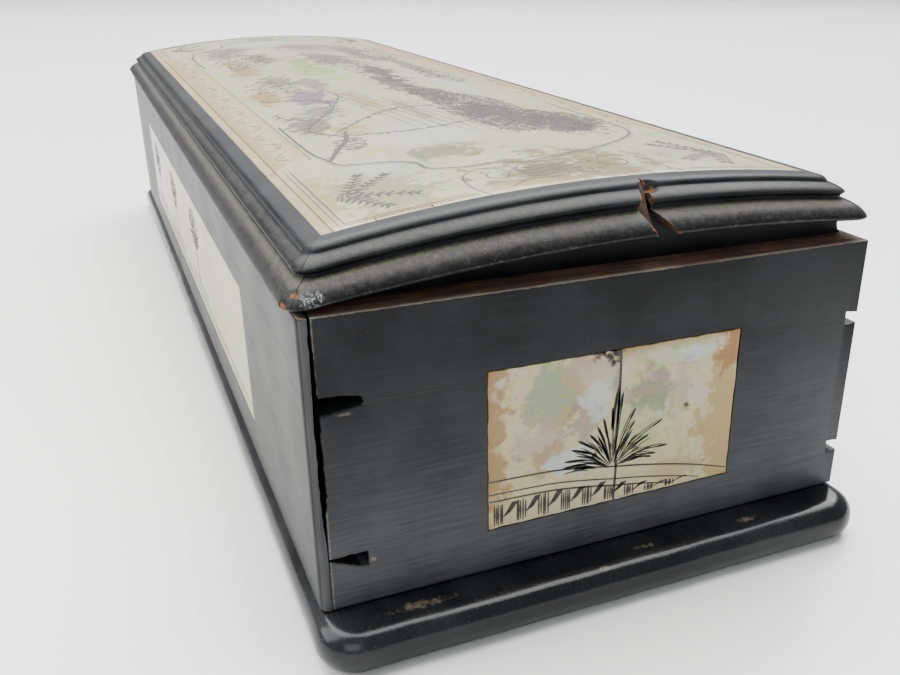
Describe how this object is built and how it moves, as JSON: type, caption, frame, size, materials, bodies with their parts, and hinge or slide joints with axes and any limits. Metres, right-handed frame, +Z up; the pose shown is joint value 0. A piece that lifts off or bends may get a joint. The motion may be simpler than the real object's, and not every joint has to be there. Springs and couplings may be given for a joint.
{
  "type": "inlaid wooden box",
  "caption": "Long black wooden box with an arched, moulded, hinged lid and engraved mother-of-pearl panels on the lid, front and ends.",
  "frame": {"origin": "middle of the base plate's underside", "axes": "+Z up, +X along the box towards the end with the empty dovetail sockets, -Y towards the front"},
  "size_m": [0.3256, 0.1067, 0.0694],
  "materials": {
    "ebonised_wood": "satin",
    "mother_of_pearl": "gloss",
    "aged_brass": "satin"
  },
  "bodies": {
    "case": {"back_board": "ebonised_wood", "base_plate": "ebonised_wood", "front_board": "ebonised_wood", "front_pearl_1": "mother_of_pearl", "front_pearl_2": "mother_of_pearl", "front_pearl_3": "mother_of_pearl", "front_pearl_4": "mother_of_pearl", "left_end_board": "ebonised_wood", "left_end_pearl_back": "mother_of_pearl", "left_end_pearl_front": "mother_of_pearl", "left_hinge_case_leaf": "aged_brass", "left_hinge_case_screw_1": "aged_brass", "left_hinge_case_screw_2": "aged_brass", "left_hinge_pin": "aged_brass", "right_end_board": "ebonised_wood", "right_end_pearl_back": "mother_of_pearl", "right_end_pearl_front": "mother_of_pearl", "right_hinge_case_leaf": "aged_brass", "right_hinge_case_screw_1": "aged_brass", "right_hinge_case_screw_2": "aged_brass", "right_hinge_pin": "aged_brass"},
    "lid": {"border_pearl_back_1": "mother_of_pearl", "border_pearl_back_2": "mother_of_pearl", "border_pearl_back_3": "mother_of_pearl", "border_pearl_front_1": "mother_of_pearl", "border_pearl_front_2": "mother_of_pearl", "border_pearl_front_3": "mother_of_pearl", "corner_pearl_left_back": "mother_of_pearl", "corner_pearl_left_front": "mother_of_pearl", "corner_pearl_right_back": "mother_of_pearl", "corner_pearl_right_front": "mother_of_pearl", "left_hinge_lid_leaf": "aged_brass", "left_hinge_lid_screw_1": "aged_brass", "left_hinge_lid_screw_2": "aged_brass", "lid_back_rail": "ebonised_wood", "lid_front_rail": "ebonised_wood", "lid_left_rail": "ebonised_wood", "lid_panel": "ebonised_wood", "lid_right_rail_back": "ebonised_wood", "lid_right_rail_front": "ebonised_wood", "medallion_pearl_left": "mother_of_pearl", "medallion_pearl_right": "mother_of_pearl", "right_hinge_lid_leaf": "aged_brass", "right_hinge_lid_screw_1": "aged_brass", "right_hinge_lid_screw_2": "aged_brass", "scene_pearl_back_1": "mother_of_pearl", "scene_pearl_back_2": "mother_of_pearl", "scene_pearl_back_3": "mother_of_pearl", "scene_pearl_front_1": "mother_of_pearl", "scene_pearl_front_2": "mother_of_pearl", "scene_pearl_front_3": "mother_of_pearl", "stringing_back_1": "mother_of_pearl", "stringing_back_2": "mother_of_pearl", "stringing_back_3": "mother_of_pearl", "stringing_front_1": "mother_of_pearl", "stringing_front_2": "mother_of_pearl", "stringing_front_3": "mother_of_pearl", "stringing_left_end": "mother_of_pearl", "stringing_right_end": "mother_of_pearl"}
  },
  "joints": [
    {"name": "lid_hinge", "type": "hinge", "parent": "case", "child": "lid", "pos_m": [0, 0.0532, 0.0584], "axis": [-1, 0, 0], "range_deg": [0, 100]}
  ]
}
